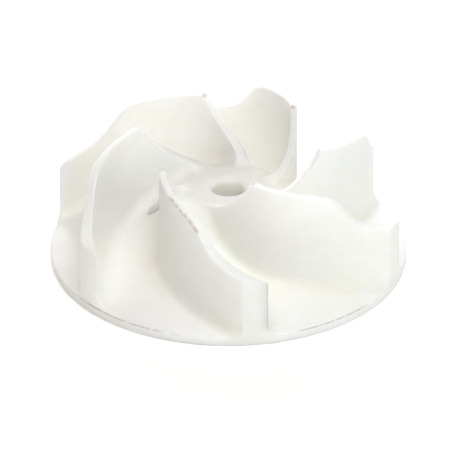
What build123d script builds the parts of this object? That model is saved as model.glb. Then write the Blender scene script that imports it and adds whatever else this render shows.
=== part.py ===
from build123d import *

import math
import os

# A pump impeller moulded as one piece: a round back plate that rises into a bell-shaped hub,
# a plain shaft bore with a rounded mouth, and six backward-curved vanes with open tops.
# The origin is on the bore axis in the flat back face, and +Z points to the inlet.
# Angles round the axis are counter-clockwise from the -Y axis, seen from the inlet.

# ---- Back plate and hub -------------------------------------------------------------------
outer_radius = 55.0
rim_thickness = 3.0
back_edge_fillet = 0.5       # round the flat back face
hub_height = 24.8
bell_shoulder_radius = 14.8  # corner between the flat top of the hub and the bell
bell_foot = (29.6, 10.6)     # corner between the bell and the plate (radius, height)
bell_shoulder_fillet = 6.0
bell_foot_fillet = 20.0

# ---- Bore ---------------------------------------------------------------------------------
bore_radius = 5.0
bore_mouth_fillet = 2.0

# ---- Vanes --------------------------------------------------------------------------------
vane_count = 6
first_tip_angle = -45.0      # where the tip of the first vane stands
inlet_blade_angle = 63.0     # between the blade and the circle, at the root of the vane
outlet_blade_angle = 32.5    # the same, at the rim
blade_angle_decay = 2.5      # how fast the first turns into the second

nose_radius = 13.5           # centre of the rounded inner end of the wall
root_radius = 11.0           # the leading edge rises from the top of the hub here
tip_radius = 28.5
tip_height = 41.7
leading_edge_sagitta = 3.2

crown_shoulder_radius = 43.2 # corner where the crown starts its steep fall
crown_shoulder_drop = 4.4    # how far that corner lies below the tip
crown_foot = (48.0, 26.0)    # corner where the steep fall ends (radius, height)
crown_shoulder_fillet = 6.4
crown_foot_fillet = 12.3
outlet_height = 22.5         # of the vane at the rim
crown_skew = 0.34            # share of the vane's radial width that its crown follows

root_thickness = 3.4
tip_thickness = 2.1
outlet_thickness = 4.2
thickness_growth = 2.0       # power by which the vane thickens from tip to outlet

vane_root_fillet = 3.0
crest_edge_fillet = 0.5      # of the tip, the crown and the outlet

# ---- Balance holes ------------------------------------------------------------------------
balance_hole_radius = 3.2
balance_hole_circle = 21.7   # radius of the ring they stand on, midway between two vanes

# ---- Drawing allowances -------------------------------------------------------------------
plate_overrun = 2.0          # how far the plate is drawn beyond the rim before it is trimmed
vane_overrun = 6.0           # the same for the vanes
head_room = 1.0              # how far the walls are drawn above the tip
waste_room = 1.0             # how far the waste is drawn above the walls
wall_foot = 1.0              # height inside the plate where the walls start
wall_points = 7
leading_stations = 5
crown_stations = 12
angle_steps = 60             # of the sum that gives the centre line of a vane
tolerance = 0.01

drawn_radius = outer_radius + vane_overrun
drawn_top = tip_height + head_room


def blade_angle(radius):
    share = max(0.0, (outer_radius - radius) / (outer_radius - root_radius))
    return outlet_blade_angle + (inlet_blade_angle - outlet_blade_angle) * share**blade_angle_decay


def wrap_angle(radius):
    """Angle round the axis of the vane's centre line at a radius."""
    step = (radius - tip_radius) / angle_steps
    turned = 0.0
    for i in range(angle_steps):
        middle = tip_radius + (i + 0.5) * step
        turned += step / (middle * math.tan(math.radians(blade_angle(middle))))
    return first_tip_angle + math.degrees(turned)


def thickness(radius):
    if radius < tip_radius:
        share = (tip_radius - radius) / (tip_radius - root_radius)
        return tip_thickness + (root_thickness - tip_thickness) * share
    share = (radius - tip_radius) / (outer_radius - tip_radius)
    return tip_thickness + (outlet_thickness - tip_thickness) * share**thickness_growth


def centre_frame(radius, skew=0.0):
    """Point of the centre line at a radius, and the level direction across the vane there."""
    angle = math.radians(wrap_angle(radius))
    turn = math.radians(blade_angle(radius)) + skew
    outward = Vector(math.sin(angle), -math.cos(angle), 0)
    around = Vector(math.cos(angle), math.sin(angle), 0)
    return outward * radius, outward * math.cos(turn) - around * math.sin(turn)


def side_points(side):
    """Points of one wall in plan, from the nose to beyond the rim."""
    points = []
    for i in range(wall_points + 1):
        radius = nose_radius + (drawn_radius - nose_radius) * i / wall_points
        centre, across = centre_frame(radius)
        points.append(centre + across * (side * thickness(radius) / 2))
    return points


def is_vane_root(edge):
    """True where a wall stands on the plate or hub: such an edge runs neither upright nor in a
    circle round the axis, and lies no higher than the hub."""
    start, middle, end = edge @ 0, edge @ 0.5, edge @ 1
    radii = [math.hypot(point.X, point.Y) for point in (start, middle, end)]
    is_round = max(radii) - min(radii) < tolerance
    is_upright = abs(end.Z - start.Z) > edge.length - tolerance
    is_low = max(start.Z, middle.Z, end.Z) < hub_height + tolerance
    return is_low and not is_round and not is_upright


def is_crest_edge(edge):
    """True on the upper edges of a vane from its tip to the rim, but not on its leading edge."""
    start, middle, end = edge @ 0, edge @ 0.5, edge @ 1
    is_high = min(start.Z, middle.Z, end.Z) > (rim_thickness + outlet_height) / 2
    return is_high and math.hypot(middle.X, middle.Y) > tip_radius - tolerance


def is_circle(edge, radius):
    return edge.geom_type == GeomType.CIRCLE and abs(edge.radius - radius) < tolerance


def waste_section(radius, height):
    """Upright rectangle across the vane, from a height of its upper edge to above the wall."""
    skew = math.atan(crown_skew / math.tan(math.radians(blade_angle(radius))))
    centre, across = centre_frame(radius, skew)
    width = root_thickness + 2 * vane_root_fillet
    upright = Plane(
        centre + Vector(0, 0, height),
        x_dir=across,
        z_dir=across.cross(Vector(0, 0, 1)),
    )
    with BuildSketch(upright) as section:
        Rectangle(width, drawn_top + waste_room - height, align=(Align.CENTER, Align.MIN))
    return section.sketch


def waste_sections(profile, count):
    points = [profile @ (i / count) for i in range(count + 1)]
    return [waste_section(point.X, point.Z) for point in points]


# Heights of the vane's upper edge over the radius: the leading edge climbs from the hub to the
# tip, and the crown falls from the tip to the outlet in one soft step.
outlet_slope = (outlet_height - crown_foot[1]) / (outer_radius - crown_foot[0])
with BuildLine(Plane.XZ) as leading_edge:
    SagittaArc((root_radius, hub_height), (tip_radius, tip_height), -leading_edge_sagitta)
with BuildLine(Plane.XZ) as crown:
    FilletPolyline(
        (tip_radius, tip_height),
        (crown_shoulder_radius, tip_height - crown_shoulder_drop),
        crown_foot,
        (drawn_radius, outlet_height + outlet_slope * vane_overrun),
        radius=(crown_shoulder_fillet, crown_foot_fillet),
    )

# What is cut away above one vane, its root fillets included.
hub_edge_radius = bore_radius + bore_mouth_fillet
with BuildPart() as waste:
    loft([waste_section(radius, hub_height) for radius in (hub_edge_radius, root_radius)])
    loft(waste_sections(leading_edge.line, leading_stations))
    loft(waste_sections(crown.line, crown_stations))

# One vane as an upright wall of its full plan shape.
with BuildPart() as wall:
    with BuildSketch(Plane.XY.offset(wall_foot)):
        with BuildLine():
            outer_side = Spline(side_points(1))
            inner_side = Spline(side_points(-1))
            TangentArc(outer_side @ 0, inner_side @ 0, tangent=(outer_side % 0) * -1)
            Line(outer_side @ 1, inner_side @ 1)
        make_face()
    extrude(amount=drawn_top - wall_foot)

with BuildPart() as impeller:
    # Back plate, hub and bore, turned in one piece.
    rim_slope = (rim_thickness - bell_foot[1]) / (outer_radius - bell_foot[0])
    with BuildSketch(Plane.XZ):
        with BuildLine():
            front = FilletPolyline(
                (bore_radius, hub_height),
                (bell_shoulder_radius, hub_height),
                bell_foot,
                (outer_radius + plate_overrun, rim_thickness + rim_slope * plate_overrun),
                radius=(bell_shoulder_fillet, bell_foot_fillet),
            )
            Polyline(front @ 1, (outer_radius + plate_overrun, 0), (bore_radius, 0), front @ 0)
        make_face()
    revolve(axis=Axis.Z)

    # Walls with a fillet all round their roots, then cut down to the leading edge and crown.
    with PolarLocations(0, vane_count):
        add(wall.part)
    fillet(edges(Select.NEW).filter_by(is_vane_root), vane_root_fillet)
    with PolarLocations(0, vane_count):
        add(waste.part, mode=Mode.SUBTRACT)
    Cylinder(outer_radius, 2 * drawn_top, mode=Mode.INTERSECT)

    # Soft edges along the crests of the vanes and round the back face.
    fillet(edges().filter_by(is_crest_edge), crest_edge_fillet)
    rim_circles = edges().filter_by(lambda edge: is_circle(edge, outer_radius))
    fillet(rim_circles.sort_by(Axis.Z)[0], back_edge_fillet)

    # Balance holes midway between the vanes, and the rounded mouth of the bore.
    hole_angle = wrap_angle(balance_hole_circle) - 90 - 180 / vane_count
    with PolarLocations(balance_hole_circle, vane_count, start_angle=hole_angle):
        Hole(balance_hole_radius, depth=2 * drawn_top)
    bore_circles = edges().filter_by(lambda edge: is_circle(edge, bore_radius))
    fillet(bore_circles.sort_by(Axis.Z)[-1], bore_mouth_fillet)

impeller.part.label = "impeller"
os.makedirs("parts", exist_ok=True)
export_step(impeller.part, "parts/impeller.step")
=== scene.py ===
import bpy
import math
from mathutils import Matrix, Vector

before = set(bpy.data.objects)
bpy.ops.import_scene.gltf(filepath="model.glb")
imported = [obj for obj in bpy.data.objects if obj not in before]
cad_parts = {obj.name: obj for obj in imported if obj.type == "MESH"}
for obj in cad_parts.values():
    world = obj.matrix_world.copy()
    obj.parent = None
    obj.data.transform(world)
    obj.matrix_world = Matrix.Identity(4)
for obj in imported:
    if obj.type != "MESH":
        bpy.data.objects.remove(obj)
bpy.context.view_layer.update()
mm = 0.001


def deselectAll():
    if bpy.context.object and bpy.context.object.mode != "OBJECT":
        bpy.ops.object.mode_set(mode="OBJECT")
    bpy.ops.object.select_all(action="DESELECT")


def linearColour(hexCode):
    # sRGB hex to the linear values that the shader sockets take
    channels = [int(hexCode[i:i + 2], 16) / 255 for i in (1, 3, 5)]
    linear = [c / 12.92 if c <= 0.04045 else ((c + 0.055) / 1.055) ** 2.4 for c in channels]
    return (*linear, 1.0)


def addNode(tree, kind, feeds=(), **settings):
    # feeds are pairs of an input and what goes into it: an output socket, a node, which stands
    # for its first output, or a plain value; settings are the node's own choices
    node = tree.nodes.new(kind)
    for name, value in settings.items():
        setattr(node, name, value)
    for place, source in feeds:
        if isinstance(source, bpy.types.Node):
            source = source.outputs[0]
        if isinstance(source, bpy.types.NodeSocket):
            tree.links.new(source, node.inputs[place])
        else:
            node.inputs[place].default_value = source
    return node


# Moulded polypropylene, natural ivory white, from a fine spark-eroded mould: a satin skin with no
# sharp highlight, and walls thin enough that light spreads through them and softens every edge.
plastic = {
    "skin": "#F1F0EC",          # clean moulded face
    "aged": "#EFEDE5",          # slightly yellowed patches
    "rubbed": "#DDB8AD",        # worn edges, brown pink
    "scuff": "#8E6556",         # dark rub marks on the tips and along one crown
    "seat": "#DAD8D3",          # greyer tone painted on the flat top of the hub
    "rimLineTint": "#A08F80",         # thin grey-brown line painted along the rim's upper corner
    "roughness": 0.46,
    "ior": 1.49,                # polypropylene
    "scatterDepth": 8 * mm,     # how far light spreads inside, about twice the wall
    "scatterShare": 1.0,        # all of the light goes through the skin
    "scatterTint": (1.0, 0.96, 0.89),    # red light goes furthest
    # Spark-eroded grain: size, drawn a little coarser than the real 0.1 mm, detail, roughness
    "grain": (0.35 * mm, 2.0, 0.5),
    "grainDepth": 0.012 * mm,
    "edgeSoftness": 0.5 * mm,   # how far the corners look rounded
    "bevelSamples": 8,
    "clouds": [(26 * mm, 3.0, 0.55), (5 * mm, 4.0, 0.6)],    # size, detail, roughness
    "cloudLevels": (0.8, 1.25),          # where the yellowing starts, and where it is full
    "breaks": {                 # gaps in the marks: size, detail, roughness, from level, to level
        "chips": (1.6 * mm, 3.0, 0.6, 0.34, 0.60),           # worn edges
        "scuffs": (2.5 * mm, 1.0, 0.5, 0.30, 0.55),          # tips
        "rubs": (1.6 * mm, 3.0, 0.7, 0.32, 0.56),            # rubbed crown
        "rimLine": (3 * mm, 3.0, 0.6, 0.30, 0.55),              # rim
    },
    "edgeWidth": 0.4 * mm,      # of the worn line along a corner
    "edgeLean": (0.985, 0.86),  # cosine between rounded and true normal: clean, fully worn
    "edgeWear": 0.5,            # strength of the brown-pink edges
    "tipCount": 6,
    "firstTip": math.radians(-45),       # from the camera side, counter-clockwise from above
    "tipPlace": (28.5 * mm, 41.7 * mm),  # radius and height of a vane's tip
    "tipReach": (1.2 * mm, 0.5 * mm),    # where the scuff ends, and where it is full
    "seatPlace": (15 * mm, 24.8 * mm),   # edge and height of the flat top of the hub
    "seatEdge": 3 * mm,                  # the film fades over this much on both sides of its edge
    "seatReach": (1.2 * mm, 0.1 * mm),   # the same in height: where it ends, and where it is full
    "seatGreying": 0.5,                     # strength of the grey painted on the flat top of the hub
    "rubPath": [(-18.0 * mm, -32.2 * mm, 39.4 * mm), (-14.6 * mm, -38.2 * mm, 38.1 * mm),
                (-12.3 * mm, -41.2 * mm, 37.0 * mm), (-9.6 * mm, -44.3 * mm, 34.2 * mm)],
    "rubReach": (0.85 * mm, 0.2975 * mm),  # half width of the rubbed line on the front vane's crown
    "rubDepth": 0.75,                    # strength of that line beside the scuffs
    "scuffDepth": 0.6,                   # strength of both
    "rimPlace": (55 * mm, 3 * mm),       # radius and height of the rim's upper corner
    "rimReach": (0.55 * mm, 0.165 * mm),  # where the rim line ends, and where it is full
    "rimArcs": [(-36, 26), (36, 18)],    # stretches with the line: middle and half width in degrees
    "rimDepth": 0.6,                     # strength of the rim line
}


def makePlastic(p):
    material = bpy.data.materials.new("mouldedPolypropyleneIvory")
    material.use_nodes = True
    tree = material.node_tree
    tree.nodes.clear()

    place = addNode(tree, "ShaderNodeTexCoord").outputs["Object"]
    x, y, z = addNode(tree, "ShaderNodeSeparateXYZ", [(0, place)]).outputs
    xSquare = addNode(tree, "ShaderNodeMath", [(0, x), (1, x)], operation="MULTIPLY")
    ySquare = addNode(tree, "ShaderNodeMath", [(0, y), (1, y)], operation="MULTIPLY")
    radius = addNode(tree, "ShaderNodeMath", [(0, xSquare), (1, ySquare)], operation="ADD")
    radius = addNode(tree, "ShaderNodeMath", [(0, radius)], operation="SQRT")
    front = addNode(tree, "ShaderNodeMath", [(0, y), (1, -1.0)], operation="MULTIPLY")
    around = addNode(tree, "ShaderNodeMath", [(0, x), (1, front)], operation="ARCTAN2")

    # Colour: broad yellowed patches with a finer mottle over them.
    clouds = [addNode(tree, "ShaderNodeTexNoise", [
        ("Vector", place), ("Scale", 1 / size), ("Detail", detail), ("Roughness", roughness)])
        for size, detail, roughness in p["clouds"]]
    cloud = addNode(tree, "ShaderNodeMath", list(enumerate(clouds)), operation="ADD")
    low, high = p["cloudLevels"]
    yellowed = addNode(tree, "ShaderNodeMapRange", [
        ("Value", cloud), ("From Min", low), ("From Max", high)],
        interpolation_type="SMOOTHSTEP")

    # Gaps that break up the marks, each from its own noise.
    gaps = {}
    for name, (size, detail, roughness, low, high) in p["breaks"].items():
        noise = addNode(tree, "ShaderNodeTexNoise", [
            ("Vector", place), ("Scale", 1 / size), ("Detail", detail),
            ("Roughness", roughness)])
        gaps[name] = addNode(tree, "ShaderNodeMapRange", [
            ("Value", noise), ("From Min", low), ("From Max", high)],
            interpolation_type="SMOOTHSTEP")

    # Worn edges: where a rounded normal leaves the true one, broken up along the edge.
    corner = addNode(tree, "ShaderNodeBevel", [("Radius", p["edgeWidth"])],
                     samples=p["bevelSamples"])
    true = addNode(tree, "ShaderNodeNewGeometry").outputs["Normal"]
    lean = addNode(tree, "ShaderNodeVectorMath", [(0, corner), (1, true)],
                   operation="DOT_PRODUCT").outputs["Value"]
    clean, worn = p["edgeLean"]
    edge = addNode(tree, "ShaderNodeMapRange", [
        ("Value", lean), ("From Min", clean), ("From Max", worn)],
        interpolation_type="SMOOTHSTEP")
    edge = addNode(tree, "ShaderNodeMath", [(0, edge), (1, gaps["chips"])], operation="MULTIPLY")
    rubbed = addNode(tree, "ShaderNodeMath", [(0, edge), (1, p["edgeWear"])],
                     operation="MULTIPLY")

    # Hub: the flat top is painted a little greyer, fading out at its edge.
    seatRadius, seatHeight = p["seatPlace"]
    fromSeat = addNode(tree, "ShaderNodeMath", [(0, z), (1, seatHeight)], operation="SUBTRACT")
    fromSeat = addNode(tree, "ShaderNodeMath", [(0, fromSeat)], operation="ABSOLUTE")
    end, full = p["seatReach"]
    level = addNode(tree, "ShaderNodeMapRange", [
        ("Value", fromSeat), ("From Min", end), ("From Max", full)],
        interpolation_type="SMOOTHSTEP")
    inside = addNode(tree, "ShaderNodeMapRange", [
        ("Value", radius), ("From Min", seatRadius + p["seatEdge"]),
        ("From Max", seatRadius - p["seatEdge"])], interpolation_type="SMOOTHSTEP")
    hubTopGreying = addNode(tree, "ShaderNodeMath", [(0, level), (1, inside)], operation="MULTIPLY")
    hubTopGreying = addNode(tree, "ShaderNodeMath", [(0, hubTopGreying), (1, p["seatGreying"])],
                   operation="MULTIPLY")

    # Tips: a small dark scuff on each, in a turned frame where every tip is the same place.
    step = 2 * math.pi / p["tipCount"]
    tipRadius, tipHeight = p["tipPlace"]
    turned = addNode(tree, "ShaderNodeMath", [(0, around), (1, p["firstTip"])],
                     operation="SUBTRACT")
    folded = addNode(tree, "ShaderNodeMath", [(0, turned), (1, step / 2), (2, -step / 2)],
                     operation="WRAP")
    outward = addNode(tree, "ShaderNodeMath", [(0, radius), (1, tipRadius)],
                      operation="SUBTRACT")
    sideways = addNode(tree, "ShaderNodeMath", [(0, radius), (1, folded)], operation="MULTIPLY")
    upward = addNode(tree, "ShaderNodeMath", [(0, z), (1, tipHeight)], operation="SUBTRACT")
    fromTip = addNode(tree, "ShaderNodeCombineXYZ", [(0, outward), (1, sideways), (2, upward)])
    tipGap = addNode(tree, "ShaderNodeVectorMath", [(0, fromTip)],
                     operation="LENGTH").outputs["Value"]
    end, full = p["tipReach"]
    nearTip = addNode(tree, "ShaderNodeMapRange", [
        ("Value", tipGap), ("From Min", end), ("From Max", full)],
        interpolation_type="SMOOTHSTEP")
    scuffs = addNode(tree, "ShaderNodeMath", [(0, nearTip), (1, gaps["scuffs"])],
                     operation="MULTIPLY")

    # One crown is rubbed brown along its outer edge, in a rough line from point to point.
    rub = 0.0
    end, full = p["rubReach"]
    for start, stop in zip(p["rubPath"], p["rubPath"][1:]):
        length = (Vector(stop) - Vector(start)).length
        heading = (Vector(stop) - Vector(start)).normalized()
        fromStart = addNode(tree, "ShaderNodeVectorMath", [(0, place), (1, start)],
                            operation="SUBTRACT")
        along = addNode(tree, "ShaderNodeVectorMath", [(0, fromStart), (1, heading)],
                        operation="DOT_PRODUCT").outputs["Value"]
        along = addNode(tree, "ShaderNodeMath", [(0, along), (1, 0.0)], operation="MAXIMUM")
        along = addNode(tree, "ShaderNodeMath", [(0, along), (1, length)], operation="MINIMUM")
        nearest = addNode(tree, "ShaderNodeVectorMath", [(0, heading), ("Scale", along)],
                          operation="SCALE")
        aside = addNode(tree, "ShaderNodeVectorMath", [(0, fromStart), (1, nearest)],
                        operation="DISTANCE").outputs["Value"]
        line = addNode(tree, "ShaderNodeMapRange", [
            ("Value", aside), ("From Min", end), ("From Max", full)],
            interpolation_type="SMOOTHSTEP")
        rub = addNode(tree, "ShaderNodeMath", [(0, rub), (1, line)], operation="MAXIMUM")
    rub = addNode(tree, "ShaderNodeMath", [(0, rub), (1, p["rubDepth"])], operation="MULTIPLY")
    rub = addNode(tree, "ShaderNodeMath", [(0, rub), (1, gaps["rubs"])], operation="MULTIPLY")
    dark = addNode(tree, "ShaderNodeMath", [(0, scuffs), (1, rub)], operation="ADD")
    dark = addNode(tree, "ShaderNodeMath", [(0, dark), (1, 1.0)], operation="MINIMUM")
    dark = addNode(tree, "ShaderNodeMath", [(0, dark), (1, p["scuffDepth"])],
                   operation="MULTIPLY")

    # Rim: a thin grey-brown line painted along its upper corner, on some stretches.
    rimRadius, rimHeight = p["rimPlace"]
    fromRim = addNode(tree, "ShaderNodeMath", [(0, radius), (1, rimRadius)],
                      operation="SUBTRACT")
    fromRim = addNode(tree, "ShaderNodeMath", [(0, fromRim)], operation="ABSOLUTE")
    aboveRim = addNode(tree, "ShaderNodeMath", [(0, z), (1, rimHeight)], operation="SUBTRACT")
    aboveRim = addNode(tree, "ShaderNodeMath", [(0, aboveRim)], operation="ABSOLUTE")
    rimGap = addNode(tree, "ShaderNodeMath", [(0, fromRim), (1, aboveRim)], operation="ADD")
    stretches = 0.0
    for middle, half in p["rimArcs"]:
        away = addNode(tree, "ShaderNodeMath", [(0, around), (1, math.radians(middle))],
                       operation="SUBTRACT")
        away = addNode(tree, "ShaderNodeMath", [(0, away)], operation="ABSOLUTE")
        arc = addNode(tree, "ShaderNodeMapRange", [
            ("Value", away), ("From Min", math.radians(half)),
            ("From Max", math.radians(half / 2))], interpolation_type="SMOOTHSTEP")
        stretches = addNode(tree, "ShaderNodeMath", [(0, stretches), (1, arc)],
                            operation="ADD")
    end, full = p["rimReach"]
    nearRim = addNode(tree, "ShaderNodeMapRange", [
        ("Value", rimGap), ("From Min", end), ("From Max", full)],
        interpolation_type="SMOOTHSTEP")
    broken = addNode(tree, "ShaderNodeMath", [(0, stretches), (1, gaps["rimLine"])],
                     operation="MULTIPLY")
    rimLine = addNode(tree, "ShaderNodeMath", [(0, nearRim), (1, broken)], operation="MULTIPLY")
    rimLine = addNode(tree, "ShaderNodeMath", [(0, rimLine), (1, p["rimDepth"])],
                   operation="MULTIPLY")

    # The colours are laid one over another, each by its own share.
    colour = linearColour(p["skin"])
    for name, share in [("aged", yellowed), ("rubbed", rubbed), ("seat", hubTopGreying),
                        ("scuff", dark), ("rimLineTint", rimLine)]:
        colour = addNode(tree, "ShaderNodeMix", [
            (0, share), (6, colour), (7, linearColour(p[name]))], data_type="RGBA").outputs[2]

    # Surface: rounded corners and a fine grain.
    soft = addNode(tree, "ShaderNodeBevel", [("Radius", p["edgeSoftness"])],
                   samples=p["bevelSamples"])
    size, detail, roughness = p["grain"]
    grain = addNode(tree, "ShaderNodeTexNoise", [
        ("Vector", place), ("Scale", 1 / size), ("Detail", detail), ("Roughness", roughness)])
    bump = addNode(tree, "ShaderNodeBump", [
        ("Height", grain), ("Normal", soft), ("Distance", p["grainDepth"])])
    shader = addNode(tree, "ShaderNodeBsdfPrincipled", [
        ("Base Color", colour), ("Roughness", p["roughness"]), ("IOR", p["ior"]),
        ("Normal", bump), ("Subsurface Weight", p["scatterShare"]),
        ("Subsurface Radius", p["scatterTint"]), ("Subsurface Scale", p["scatterDepth"])])
    addNode(tree, "ShaderNodeOutputMaterial", [("Surface", shader)])
    return material


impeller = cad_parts["impeller"]
moulded = makePlastic(plastic)
for slot in impeller.material_slots:
    slot.material = moulded
print("impeller: moulded plastic given to the packed solid")

# Soft boxes all round on a white sweep, the strongest behind the part, so that its walls glow.
# Each: degrees round from the camera, degrees up, watts, colour.
studio = {
    "floor": "#F4F4F2",         # matt white paper sweep, no highlight
    "floorRoughness": 0.9,
    "floorSize": 3.0,
    "floorGlow": 0.18,          # white light from below, as on a light table
    "roomLight": 0.01,
    "boxSize": 0.6,
    "boxDistance": 0.9,
    "boxAim": (0, 0, 20 * mm),  # middle of the part, which every box faces
    "boxes": [
        (45, 12, 2.1, "#EEF8F8"),
        (45, 35, 0.8, "#EAFFF0"),
        (-45, 40, 0.35, "#FFAC70"),
        (0, 60, 5.1, "#FCFCFF"),
        (0, 90, 1.6, "#FFFFFF"),
        (150, 20, 1.9, "#FFFFFF"),
        (180, 15, 2.9, "#FFFFFF"),
        (-150, 20, 2.8, "#FFFFFF"),
    ],
}


def makeStudio(s):
    deselectAll()
    bpy.ops.mesh.primitive_plane_add(size=s["floorSize"])
    floor = bpy.context.object
    floor.name = "floor"
    paint = bpy.data.materials.new("matteWhiteSweep")
    paint.use_nodes = True
    shader = paint.node_tree.nodes["Principled BSDF"]
    shader.inputs["Base Color"].default_value = linearColour(s["floor"])
    shader.inputs["Roughness"].default_value = s["floorRoughness"]
    shader.inputs["Emission Color"].default_value = linearColour("#FFFFFF")
    shader.inputs["Emission Strength"].default_value = s["floorGlow"]
    floor.data.materials.append(paint)
    world = bpy.data.worlds.new("darkRoom")
    bpy.context.scene.world = world
    world.use_nodes = True
    background = world.node_tree.nodes["Background"]
    background.inputs["Color"].default_value = linearColour("#FFFFFF")
    background.inputs["Strength"].default_value = s["roomLight"]
    middle = Vector(s["boxAim"])
    for turn, rise, power, tint in s["boxes"]:
        turn, rise = math.radians(turn), math.radians(rise)
        away = Vector((math.sin(turn) * math.cos(rise), -math.cos(turn) * math.cos(rise),
                       math.sin(rise)))
        bpy.ops.object.light_add(type="AREA", location=middle + away * s["boxDistance"])
        box = bpy.context.object
        box.name = "softBox"
        box.data.size = s["boxSize"]
        box.data.energy = power
        box.data.color = linearColour(tint)[:3]
        box.rotation_euler = (-away).to_track_quat("-Z", "Y").to_euler()


makeStudio(studio)
print("studio: floor and lights")

lens = {
    "aim": (0.00046, 0.0, 0.00905),   # point of the part that the camera looks at
    "elevation": math.radians(30.29),
    "distance": 2.5322,
    "focal": 639.65,                  # millimetres
    "sensorWidth": 36,                # millimetres
    "clipEnd": 10,
}


def makeCamera(v):
    deselectAll()
    back = Vector((0, -math.cos(v["elevation"]), math.sin(v["elevation"])))
    bpy.ops.object.camera_add(location=Vector(v["aim"]) + back * v["distance"])
    camera = bpy.context.object
    camera.name = "camera"
    camera.rotation_euler = (math.pi / 2 - v["elevation"], 0, 0)
    camera.data.sensor_width = v["sensorWidth"]
    camera.data.lens = v["focal"]
    camera.data.clip_end = v["clipEnd"]
    bpy.context.scene.camera = camera


makeCamera(lens)
bpy.context.scene.view_settings.view_transform = "Standard"
print("camera placed")
